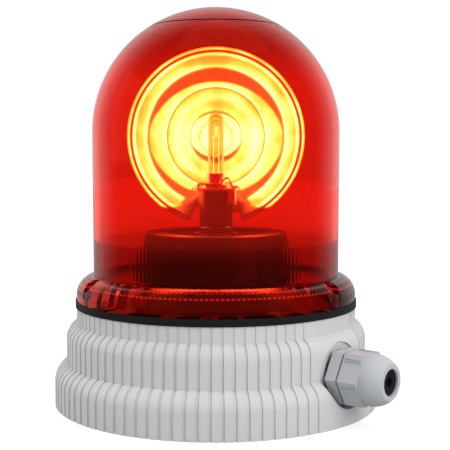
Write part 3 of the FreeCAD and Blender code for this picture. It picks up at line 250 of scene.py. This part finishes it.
def grain_group():
    """Fine grain in the relief and a slow drift in colour and gloss, shared by all plain finishes."""
    group = bpy.data.node_groups.new("finish_grain", "ShaderNodeTree")
    for name in ("Spread", "Roughness", "Grain", "Relief"):
        group.interface.new_socket(name, in_out="INPUT", socket_type="NodeSocketFloat")
    group.interface.new_socket("Colour", in_out="INPUT", socket_type="NodeSocketColor")
    group.interface.new_socket("Colour", in_out="OUTPUT", socket_type="NodeSocketColor")
    group.interface.new_socket("Roughness", in_out="OUTPUT", socket_type="NodeSocketFloat")
    group.interface.new_socket("Normal", in_out="OUTPUT", socket_type="NodeSocketVector")
    given = group.nodes.new("NodeGroupInput").outputs
    result = group.nodes.new("NodeGroupOutput").inputs
    where = add(group, "TexCoord").outputs["Object"]
    fine = add(group, "TexNoise", Detail=3.0)
    broad = add(group, "TexNoise", Scale=35.0, Detail=4.0)
    group.links.new(where, fine.inputs["Vector"])
    group.links.new(where, broad.inputs["Vector"])
    group.links.new(given["Grain"], fine.inputs["Scale"])
    drift = spread_out(group, broad.outputs["Fac"], 0.3, 0.7, -1.0, 1.0)
    tint = add(group, "VectorMath", operation="SCALE")
    group.links.new(given["Colour"], tint.inputs[0])
    share = combine(group, "MULTIPLY", drift, given["Spread"])
    group.links.new(scaled(group, share, 1.0, 1.0), tint.inputs["Scale"])
    group.links.new(tint.outputs["Vector"], result["Colour"])
    gloss = spread_out(group, broad.outputs["Fac"], 0.0, 1.0, 0.88, 1.12)
    group.links.new(combine(group, "MULTIPLY", gloss, given["Roughness"]), result["Roughness"])
    relief = add(group, "Bump", Distance=0.0002)
    group.links.new(given["Relief"], relief.inputs["Strength"])
    group.links.new(fine.outputs["Fac"], relief.inputs["Height"])
    group.links.new(relief.outputs["Normal"], result["Normal"])
    return group


GRAIN = grain_group()


def surface(name, colour, roughness, metallic=0.0, grain=900.0, relief=0.05, spread=0.06):
    """A plain finish with the shared grain."""
    material, tree, shader = new_material(name)
    shader.inputs["Metallic"].default_value = metallic
    finish = add(tree, "Group", node_tree=GRAIN)
    finish.inputs["Colour"].default_value = (*colour, 1)
    finish.inputs["Spread"].default_value = spread
    finish.inputs["Roughness"].default_value = roughness
    finish.inputs["Grain"].default_value = grain
    finish.inputs["Relief"].default_value = relief
    tree.links.new(finish.outputs["Colour"], shader.inputs["Base Color"])
    tree.links.new(finish.outputs["Roughness"], shader.inputs["Roughness"])
    tree.links.new(finish.outputs["Normal"], shader.inputs["Normal"])
    return material


def clear_red():
    """The dome's clear red plastic, with fine upright ribs in its relief, a painted shade over its lower
    band, and the lamp's light in it painted as glow and serrated highlights.
    """
    material, tree, shader = new_material("clear_red_plastic")
    shader.inputs["Roughness"].default_value = 0.015
    shader.inputs["Transmission Weight"].default_value = 1.0
    shader.inputs["IOR"].default_value = 1.49
    across = axes(tree, add(tree, "TexCoord").outputs["Object"])
    ribs = wave_round(tree, across, 180)

    def belt(low, high, soft):
        return band(tree, across.outputs["Z"], low * MM, high * MM, soft * MM)

    # Painted shade: a darker red over the dome's lower band, where its inside lies in shade
    depth = add(tree, "MixRGB", Color1=(0.58, 0.046, 0.022, 1), Color2=(0.40, 0.022, 0.012, 1))
    tree.links.new(belt(40, 82, 1.5), depth.inputs["Fac"])
    tree.links.new(depth.outputs["Color"], shader.inputs["Base Color"])
    relief = add(tree, "Bump", Strength=0.15, Distance=0.0003)
    tree.links.new(combine(tree, "MULTIPLY", ribs, belt(66, 82.5, 1.5)), relief.inputs["Height"])
    tree.links.new(relief.outputs["Normal"], shader.inputs["Normal"])
    # Painted highlights and glow: two thin serrated lines of glints low in the dome, a painted glow of the
    # lamp's light round the mirror and a faint one in the foot
    lines = combine(tree, "ADD", belt(61.1, 61.7, 0.25), belt(63.7, 63.9, 0.15))
    painted_glints = scaled(tree, combine(tree, "MULTIPLY", lines, ribs), 0.5)
    painted_glow_near_mirror = scaled(tree, belt(100, 160, 26), 0.12)
    painted_glow_in_foot = scaled(tree, belt(54, 64, 1), 0.02)
    glow = combine(tree, "ADD", painted_glow_near_mirror, painted_glow_in_foot)
    shader.inputs["Emission Color"].default_value = (1.0, 0.025, 0.012, 1)
    tree.links.new(combine(tree, "ADD", painted_glints, glow), shader.inputs["Emission Strength"])
    return material


def quartz():
    """The bulb's glass, with a painted warm tint that stands for the light in it."""
    material, _, shader = new_material("quartz_glass")
    shader.inputs["Base Color"].default_value = (1.0, 0.72, 0.42, 1)
    shader.inputs["Roughness"].default_value = 0.0
    shader.inputs["Transmission Weight"].default_value = 1.0
    shader.inputs["IOR"].default_value = 1.45
    return material


def hot_wire():
    """The glowing filament."""
    material, _, shader = new_material("hot_filament")
    shader.inputs["Base Color"].default_value = (1.0, 0.9, 0.7, 1)
    shader.inputs["Emission Color"].default_value = (1.0, 0.9, 0.7, 1)
    shader.inputs["Emission Strength"].default_value = 600.0
    return material


# How bright the mirror's painted glow is by distance from the beam's axis in mirror radii, out past its rim
PAINTED_RING_GLOW = (
    (0.0, 1.0), (0.19, 0.95), (0.205, 0.5), (0.215, 0.85), (0.31, 0.95), (0.325, 0.45), (0.335, 0.8),
    (0.42, 0.74), (0.50, 0.92), (0.59, 0.66), (0.605, 0.42), (0.62, 1.0), (0.66, 0.76), (0.80, 0.66),
    (0.83, 0.38), (0.85, 1.0), (0.89, 0.72), (0.96, 0.58), (0.985, 0.95), (1.0, 0.85), (1.01, 0.25),
    (1.03, 0.15), (1.045, 0.9), (1.06, 0.6),
)
RAMP_REACH = 1.1
# The dark crescents between the rings, painted shade and painted reflection: the circle round the axis, and
# the shift up and radius of the other
PAINTED_DARK_CRESCENTS = ((0.83, -0.19, 0.85), (0.83, 0.15, 0.85), (0.325, -0.05, 0.33), (0.325, 0.10, 0.34))


def across_beam(tree, place):
    """Where a point of the mirror lies across the beam, in mirror radii: Y sideways and Z up."""
    centred = add(tree, "Mapping", Location=-MIRROR_CENTRE)
    tree.links.new(place, centred.inputs["Vector"])
    facing = add(tree, "Mapping", Rotation=(0, 0, -BEAM_TURN))
    tree.links.new(centred.outputs["Vector"], facing.inputs["Vector"])
    flat = add(tree, "VectorMath", operation="MULTIPLY")
    flat.inputs[1].default_value = (0, 1 / MIRROR_RADIUS, 1 / MIRROR_RADIUS)
    tree.links.new(facing.outputs["Vector"], flat.inputs[0])
    return flat.outputs["Vector"]


def outside_circle(tree, flat, height, radius, soft):
    """0 inside a circle at a height above the beam's axis, rising to 1 over a soft edge outside it."""
    moved = add(tree, "VectorMath", operation="SUBTRACT")
    moved.inputs[1].default_value = (0, 0, height)
    tree.links.new(flat, moved.inputs[0])
    return ease(tree, length(tree, moved.outputs["Vector"]), radius, radius + soft)


def crescent(tree, flat, rim, shift, inner):
    """Nearly 0 between a circle round the beam's axis and a shifted circle in it, and 1 elsewhere."""
    inside_rim = ease(tree, length(tree, flat), rim, rim - 0.02)
    between = combine(tree, "MULTIPLY", outside_circle(tree, flat, shift, inner, 0.04), inside_rim)
    return scaled(tree, between, -0.88, 1.0)


def painted_brighter_sides(tree, flat, radius):
    """Painted light: a little brighter to the left and right of the beam's axis than above and below it."""
    share = add(tree, "Math", operation="ABSOLUTE")
    tree.links.new(combine(tree, "DIVIDE", axes(tree, flat).outputs["Y"], radius), share.inputs[0])
    return scaled(tree, share.outputs["Value"], 0.2, 0.84)


def painted_caustic_patches(tree, place):
    """Painted light: slow caustic-like patches in the mirror's glow."""
    cloud = add(tree, "TexNoise", Scale=70.0, Detail=2.0)
    tree.links.new(place, cloud.inputs["Vector"])
    return spread_out(tree, cloud.outputs["Fac"], 0.35, 0.62, 0.78, 1.0)


def mirror_with_painted_glow():
    """The reflector's coat, with the bulb's light on its front painted in as a glow in rings about the
    beam's axis.
    """
    material, tree, shader = new_material("mirror_with_painted_glow")
    shader.inputs["Metallic"].default_value = 1.0
    shader.inputs["Roughness"].default_value = 0.3
    shader.inputs["Base Color"].default_value = (0.35, 0.34, 0.33, 1)
    where = add(tree, "TexCoord")
    flat = across_beam(tree, where.outputs["Object"])
    radius = length(tree, flat)
    painted_brightness = ramp(tree, scaled(tree, radius, 1 / RAMP_REACH),
                      [(reach / RAMP_REACH, (grey, grey, grey)) for reach, grey in PAINTED_RING_GLOW])
    # Painted shade and painted reflection: dark crescents between the rings of the glow
    dark = [crescent(tree, flat, *circles) for circles in PAINTED_DARK_CRESCENTS]
    # Painted shadows: the lamp plate and pillar's shadow along the mirror's bottom, and the lamp plate's
    # round shadow
    painted_shadow_under_plate = band(tree, axes(tree, flat).outputs["Z"], -0.83, 2, 0.05)
    painted_lamp_plate_shadow = outside_circle(tree, flat, -1.02, 0.42, 0.08)
    for mask in (*dark, painted_shadow_under_plate, painted_lamp_plate_shadow, painted_brighter_sides(tree, flat, radius),
                 painted_caustic_patches(tree, where.outputs["Object"])):
        painted_brightness = combine(tree, "MULTIPLY", painted_brightness, mask)
    warm = ramp(tree, painted_brightness, [(0, (1.0, 0.25, 0.01)), (0.55, (1.0, 0.7, 0.1)), (1, (1.0, 0.97, 0.75))])
    tree.links.new(warm, shader.inputs["Emission Color"])
    power = add(tree, "Math", operation="POWER")
    power.inputs[1].default_value = 2.2
    tree.links.new(painted_brightness, power.inputs[0])
    # Painted light: the glow sits on the side facing the beam, with a faint even glow over the whole
    # reflector
    front = add(tree, "Math", operation="GREATER_THAN")
    front.inputs[1].default_value = 0.0
    tree.links.new(along(tree, where.outputs["Normal"], BEAM), front.inputs[0])
    lit = combine(tree, "MULTIPLY", power.outputs["Value"], front.outputs["Value"])
    tree.links.new(scaled(tree, lit, 74.0, 0.12), shader.inputs["Emission Strength"])
    return material


FINISHES = {
    "grey_plastic": surface("grey_moulded_plastic", (0.58, 0.585, 0.59), 0.42, relief=0.08, spread=0.02),
    "gland_plastic": surface("grey_polyamide", (0.46, 0.485, 0.51), 0.38, relief=0.06, spread=0.02),
    "black_rubber": surface("black_rubber", (0.012, 0.012, 0.013), 0.6, relief=0.1),
    "dark_plastic": surface("black_moulded_plastic", (0.018, 0.017, 0.017), 0.38),
    "white_plastic": surface("natural_acetal", (0.72, 0.70, 0.63), 0.35, spread=0.03),
    "zinc_steel": surface("zinc_plated_steel", (0.55, 0.56, 0.58), 0.3, metallic=1.0, grain=400.0),
    "bright_steel": surface("bright_steel", (0.66, 0.65, 0.63), 0.22, metallic=1.0, grain=500.0),
    "bronze": surface("sintered_bronze", (0.50, 0.33, 0.14), 0.4, metallic=1.0),
    "board": surface("green_laminate", (0.03, 0.14, 0.05), 0.4, spread=0.1),
    "lead_sheath": surface("black_lead_sheath", (0.02, 0.02, 0.022), 0.5),
    "copper_coil": surface("enamelled_copper", (0.45, 0.16, 0.06), 0.3, metallic=1.0, grain=250.0,
                           relief=0.3),
    "red_lens": clear_red(),
    "clear_glass": quartz(),
    "hot_filament": hot_wire(),
    "mirror_coat": mirror_with_painted_glow(),
}
SLOTS = {part["node"]: part["material_slot"] for part in parts}
BODY_OF = {node: body for body, members in bodies.items() for node in members}
for node, slot in SLOTS.items():
    nodes[node].data.materials.clear()
    nodes[node].data.materials.append(FINISHES[slot])


# Modelling

def activate(item):
    """Select one object alone and make it active."""
    bpy.ops.object.select_all(action="DESELECT")
    item.select_set(True)
    bpy.context.view_layer.objects.active = item


def merged_copy(node):
    """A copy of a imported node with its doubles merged."""
    item = bpy.data.objects.new(node + "_finished", nodes[node].data.copy())
    bpy.context.scene.collection.objects.link(item)
    activate(item)
    bpy.ops.object.mode_set(mode="EDIT")
    bpy.ops.mesh.select_all(action="SELECT")
    bpy.ops.mesh.remove_doubles(threshold=WELD)
    bpy.ops.object.mode_set(mode="OBJECT")
    bpy.ops.mesh.customdata_custom_splitnormals_clear()
    return item


def pen(name, x, z):
    """A new mesh in edit mode with one point in the upright plane, in millimetres."""
    bpy.ops.object.select_all(action="DESELECT")
    bpy.ops.mesh.primitive_plane_add(size=MM)
    item = bpy.context.object
    item.name = name
    bpy.ops.object.mode_set(mode="EDIT")
    bpy.ops.mesh.merge(type="CENTER")
    bpy.ops.transform.translate(value=(x * MM, 0, z * MM))
    return item


def draw(x, z, path):
    """Draw on from a point: (x, z) is a straight run, (x, z of a centre, degrees, steps) an arc."""
    for item in path:
        if len(item) == 2:
            step = ((item[0] - x) * MM, 0, (item[1] - z) * MM)
            bpy.ops.mesh.extrude_region_move(TRANSFORM_OT_translate={"value": step})
            x, z = item
        else:
            centre_x, centre_z, degrees, steps = item
            angle = math.radians(degrees)
            bpy.ops.mesh.spin(steps=steps, angle=angle, center=(centre_x * MM, 0, centre_z * MM),
                              axis=(0, 1, 0))
            across, above = x - centre_x, z - centre_z
            x = centre_x + across * math.cos(angle) - above * math.sin(angle)
            z = centre_z + across * math.sin(angle) + above * math.cos(angle)


def turned(name, start, path, segments):
    """A closed profile turned round the upright axis."""
    item = pen(name, *start)
    draw(*start, path)
    bpy.ops.mesh.select_all(action="SELECT")
    bpy.ops.mesh.spin(steps=segments, angle=2 * math.pi, center=(0, 0, 0), axis=(0, 0, 1))
    bpy.ops.mesh.select_all(action="SELECT")
    bpy.ops.mesh.remove_doubles(threshold=WELD)
    bpy.ops.mesh.normals_make_consistent(inside=False)
    bpy.ops.object.mode_set(mode="OBJECT")
    return item


def drill(item, radius, depth, place, sides, tilt=0.0):
    """Cut a round hole, in millimetres, upright unless it is tilted about Y."""
    bpy.ops.object.select_all(action="DESELECT")
    bpy.ops.mesh.primitive_cylinder_add(vertices=sides, radius=radius * MM, depth=depth * MM,
                                        location=Vector(place) * MM, rotation=(0, tilt, 0))
    cutter = bpy.context.object
    activate(item)
    change = item.modifiers.new("hole", "BOOLEAN")
    change.operation = "DIFFERENCE"
    change.solver = "EXACT"
    change.object = cutter
    bpy.ops.object.modifier_apply(modifier="hole")
    bpy.data.objects.remove(cutter)


def join(item, others):
    """Join other pieces into one."""
    activate(item)
    for other in others:
        other.select_set(True)
    bpy.ops.object.join()


def stand_in(item, node):
    """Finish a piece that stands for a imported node: its shading, finish, body and slot."""
    activate(item)
    bpy.ops.object.shade_smooth_by_angle(angle=SMOOTH_ANGLE)
    item.data.materials.clear()
    item.data.materials.append(FINISHES[SLOTS[node]])
    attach(item, BODY_OF[node])
    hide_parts(node)


def round_end(reach, radius):
    """The angle in degrees at which an arc of a radius has come in to a reach from its centre."""
    return math.degrees(math.acos(reach / radius))


def on_circle(radius, degrees):
    """A point on a circle, across and up."""
    return radius * math.cos(math.radians(degrees)), radius * math.sin(math.radians(degrees))


# Pieces

def groove_shift(across, height):
    """How a groove moves a point of the base's outer skin, in millimetres, or None off that skin."""
    for radius, foot, top, shoulder, depth in TIERS:
        if foot - NEAR <= height <= top + NEAR and abs(across - radius) < NEAR:
            return -depth, 0
        out, above = across - radius + shoulder, height - top
        if shoulder and above > 0 and abs(math.hypot(out, above) - shoulder) < NEAR:
            for corner, shift in CORNERS:
                if abs(across - corner) < NEAR:
                    return shift
            return -depth * out / shoulder, -depth * above / shoulder
    return None


def fluted_skin():
    """The closed outer skin of the base, with a shallow groove every few degrees but for a plain zone."""
    low_centre, mid_centre = LOW_RADIUS - LOW_SHOULDER, MID_RADIUS - MID_SHOULDER
    low_back, mid_back, edge = MID_RADIUS - SKIN, TOP_RADIUS - SKIN, LOW_RADIUS - SKIN
    low_out = round_end(MID_RADIUS - low_centre, LOW_SHOULDER)
    mid_out = round_end(TOP_RADIUS - mid_centre, MID_SHOULDER)
    low_in = round_end(low_back - low_centre, LOW_SHOULDER - SKIN)
    mid_in = round_end(mid_back - mid_centre, MID_SHOULDER - SKIN)
    item = turned("base_skin", (edge, 0), [
        (LOW_RADIUS - SKIN_SHY, 0), (LOW_RADIUS - SKIN_SHY, LOW_TOP),
        (low_centre, LOW_TOP, low_out, 10), (MID_RADIUS, MID_TOP),
        (mid_centre, MID_TOP, mid_out, 9), (TOP_RADIUS, BASE_TOP), (mid_back, BASE_TOP),
        (mid_back, MID_TOP + on_circle(MID_SHOULDER - SKIN, mid_in)[1]),
        (mid_centre, MID_TOP, -mid_in, 4), (low_back, MID_TOP),
        (low_back, LOW_TOP + on_circle(LOW_SHOULDER - SKIN, low_in)[1]),
        (low_centre, LOW_TOP, -low_in, 4), (edge, LOW_TOP), (edge, 0)], SKIN_COLUMNS)
    column = 360 / SKIN_COLUMNS
    for point in item.data.vertices:
        turn = math.degrees(math.atan2(point.co.y, point.co.x)) % 360
        count = round((turn - FIRST_FLUTE) / FLUTE_STEP)
        middle = FIRST_FLUTE + FLUTE_STEP * count
        columns_off = round((turn - middle) / column)
        if not 0 <= count < FLUTES or abs(columns_off) > 2:
            continue
        across, height = math.hypot(point.co.x, point.co.y) / MM, point.co.z / MM
        if abs(columns_off) == 2:
            turn = middle + math.copysign(FLUTE_WIDTH / 2 + FLUTE_FLANK, columns_off)
        else:
            turn = middle + columns_off * FLUTE_WIDTH / 2
            inward, upward = groove_shift(across, height) or (0, 0)
            across, height = across + inward, height + upward
        point.co = Vector((*on_circle(across, turn), height)) * MM
    drill(item, SEAT_RADIUS, SEAT_DEPTH, (SEAT_MIDDLE, 0, GLAND_HEIGHT), 96, math.radians(90))
    return item


def base_housing():
    """The base moulding, drawn in towards the axis below its rim to lie under the fluted skin."""
    item = merged_copy("base_housing")
    for point in item.data.vertices:
        across, height = math.hypot(point.co.x, point.co.y) / MM, point.co.z / MM
        for radius, _, top, shoulder, _ in TIERS:
            lean = math.hypot(across - radius + shoulder, max(height - top, 0))
            if height < top + shoulder + NEAR and lean > shoulder - OUTER_LAYER:
                scale = 1 - DRAWN_IN / across
                drop = DRAWN_DOWN * MM if height > top else 0
                point.co = (point.co.x * scale, point.co.y * scale, point.co.z - drop)
                break
    join(item, [fluted_skin()])
    stand_in(item, "base_housing")


def dome():
    """The clear dome turned in fine steps, with its seam and the three screw pockets."""
    seam = round_end(SEAM_RADIUS, DOME_RADIUS)
    foot_centre = FOOT_RADIUS - FOOT_ROUND
    foot = round_end(DOME_RADIUS - foot_centre, FOOT_ROUND)
    groove = []
    for reach, lean in ((DOME_RADIUS - SEAM_DEPTH, 0), (DOME_RADIUS, SEAM_HALF)):
        across, above = on_circle(reach, seam + lean)
        groove.append((across, BALL_HEIGHT + above))
    item = turned("dome_lens_finished", (DOME_INSIDE, DOME_FOOT), [
        (FOOT_RADIUS, DOME_FOOT), (FOOT_RADIUS, FOOT_EDGE), (foot_centre, FOOT_EDGE, foot, 14),
        (DOME_RADIUS, RIBS_FOOT), (DOME_RADIUS, BALL_HEIGHT), (0, BALL_HEIGHT, seam - SEAM_HALF, 26),
        *groove, (0, BALL_HEIGHT, 90 - SEAM_HALF - seam, 12), (0, BALL_HEIGHT + DOME_INSIDE),
        (0, BALL_HEIGHT, -90, 36), (DOME_INSIDE, RIBS_TOP), (DOME_INSIDE, RIBS_FOOT),
        (DOME_INSIDE, DOME_FOOT)], 180)
    for turn in SCREW_TURNS:
        for radius, low, high in (SCREW_HOLE, SCREW_POCKET):
            drill(item, radius, high - low, (*on_circle(SCREW_CIRCLE, turn), (low + high) / 2), 48)
    stand_in(item, "dome_lens")


def grip_rib(start, place):
    """A rib with soft edges along the flat that would face up on a nut whose axis is X."""
    bpy.ops.object.select_all(action="DESELECT")
    bpy.ops.mesh.primitive_cube_add(size=MM, scale=RIB_SIZE,
                                    location=(start + RIB_MIDDLE * MM, place * MM, HALF_FLATS * MM))
    bpy.ops.object.transform_apply()
    rib = bpy.context.object
    soften = rib.modifiers.new("soften", "BEVEL")
    soften.width = RIB_BEVEL * MM
    soften.segments = 2
    bpy.ops.object.modifier_apply(modifier="soften")
    return rib


def gland_nut():
    """The clamping nut with a pair of fine grip ribs on each flat of its hexagon."""
    item = merged_copy("gland_nut")
    pair = [grip_rib(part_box("gland_nut")[0][0], place) for place in RIB_PLACES]
    copies = []
    for flat in range(6):
        turn = Matrix.Rotation(math.radians(60 * flat), 4, "X")
        for rib in pair:
            copy = bpy.data.objects.new("grip_rib", rib.data.copy())
            copy.data.transform(Matrix.Translation((0, 0, GLAND_HEIGHT * MM)) @ turn)
            bpy.context.scene.collection.objects.link(copy)
            copies.append(copy)
    for rib in pair:
        bpy.data.objects.remove(rib)
    join(item, copies)
    stand_in(item, "gland_nut")


base_housing()
dome()
gland_nut()
for name in nodes:
    if name not in ("base_housing", "dome_lens", "gland_nut"):
        stand_in(merged_copy(name), name)


# Floor, background, lamps and camera

def seen_rays(tree):
    """The Light Path node, and 1 for rays that reach the eye straight or through clear pieces."""
    path = add(tree, "LightPath")
    seen = combine(tree, "MAXIMUM", path.outputs["Is Camera Ray"], path.outputs["Is Transmission Ray"])
    return path, seen


def mirrored_level(tree, direction, side, behind):
    """The level of a mirrored ray: bright behind the beacon and dim on the camera's side."""
    return ease(tree, along(tree, direction, side), -0.85, -0.15, behind, 0.015)


def floor():
    """A white floor that keeps the beacon's shadow near it and runs into the white surround."""
    bpy.ops.object.select_all(action="DESELECT")
    bpy.ops.mesh.primitive_plane_add(size=6, location=(0, 0, 0))
    sheet = bpy.context.object
    sheet.name = "floor"
    material, tree, shader = new_material("white_floor")
    shader.inputs["Base Color"].default_value = (0.5, 0.5, 0.5, 1)
    shader.inputs["Roughness"].default_value = 1.0
    shader.inputs["Specular IOR Level"].default_value = 0.0
    shader.inputs["Emission Color"].default_value = (1, 1, 1, 1)
    path, seen = seen_rays(tree)
    radius = length(tree, add(tree, "TexCoord").outputs["Object"])
    fade = ease(tree, radius, 0.09, 0.3, 0.62, 1.0)
    tree.links.new(combine(tree, "MULTIPLY", fade, seen), shader.inputs["Emission Strength"])
    dim = add(tree, "Emission")
    incoming = add(tree, "NewGeometry").outputs["Incoming"]
    tree.links.new(mirrored_level(tree, incoming, -CAMERA_SIDE, 0.45), dim.inputs["Strength"])
    mirrored = add(tree, "Math", operation="SUBTRACT", use_clamp=True)
    tree.links.new(path.outputs["Is Glossy Ray"], mirrored.inputs[0])
    tree.links.new(seen, mirrored.inputs[1])
    choice = add(tree, "MixShader")
    tree.links.new(mirrored.outputs["Value"], choice.inputs["Fac"])
    tree.links.new(shader.outputs["BSDF"], choice.inputs[1])
    tree.links.new(dim.outputs["Emission"], choice.inputs[2])
    tree.links.new(choice.outputs["Shader"], tree.nodes["Material Output"].inputs["Surface"])
    sheet.data.materials.append(material)


def background():
    """A white surround, dimmer for the light it gives and for mirrored rays."""
    world = bpy.data.worlds.new("surround")
    bpy.context.scene.world = world
    world.use_nodes = True
    tree = world.node_tree
    sky = tree.nodes["Background"]
    sky.inputs["Color"].default_value = (1, 1, 1, 1)
    path, seen = seen_rays(tree)
    direction = add(tree, "TexCoord").outputs["Generated"]
    level = add(tree, "Mix", A=0.82)
    tree.links.new(path.outputs["Is Glossy Ray"], level.inputs["Factor"])
    tree.links.new(mirrored_level(tree, direction, CAMERA_SIDE, 0.6), level.inputs["B"])
    tree.links.new(combine(tree, "MAXIMUM", level.outputs["Result"], seen), sky.inputs["Strength"])


def lamp(name, place, size, power):
    """A soft lamp that points at the middle of the beacon."""
    data = bpy.data.lights.new(name, "AREA")
    data.shape = "RECTANGLE"
    data.size, data.size_y = size
    data.energy = power
    item = bpy.data.objects.new(name, data)
    item.location = place
    aim = Vector((0, 0, 0.09)) - Vector(place)
    item.rotation_euler = aim.to_track_quat("-Z", "Y").to_euler()
    item.visible_glossy = False
    bpy.context.scene.collection.objects.link(item)


def camera():
    """The camera half a metre away, a little above the beacon's middle and looking slightly down."""
    base_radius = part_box("base_housing")[1][0]
    data = bpy.data.cameras.new("camera")
    data.sensor_width = 36
    data.lens = CAMERA_LENS
    item = bpy.data.objects.new("camera", data)
    item.location = CAMERA_SIDE * CAMERA_DISTANCE * base_radius
    item.location.z = CAMERA_HEIGHT * base_radius
    item.rotation_euler = (math.radians(90) - CAMERA_DOWN, 0, CAMERA_TURN - CAMERA_ASIDE)
    bpy.context.scene.collection.objects.link(item)
    bpy.context.scene.camera = item


floor()
background()
lamp("key_lamp", (0.9, -0.1, 0.5), (0.5, 0.7), 4.5)
lamp("fill_lamp", (-0.85, -0.6, 0.45), (0.7, 0.7), 3.2)
lamp("top_lamp", (0.0, 0.1, 1.1), (0.8, 0.8), 3)
camera()
bpy.context.scene.view_settings.view_transform = "Standard"
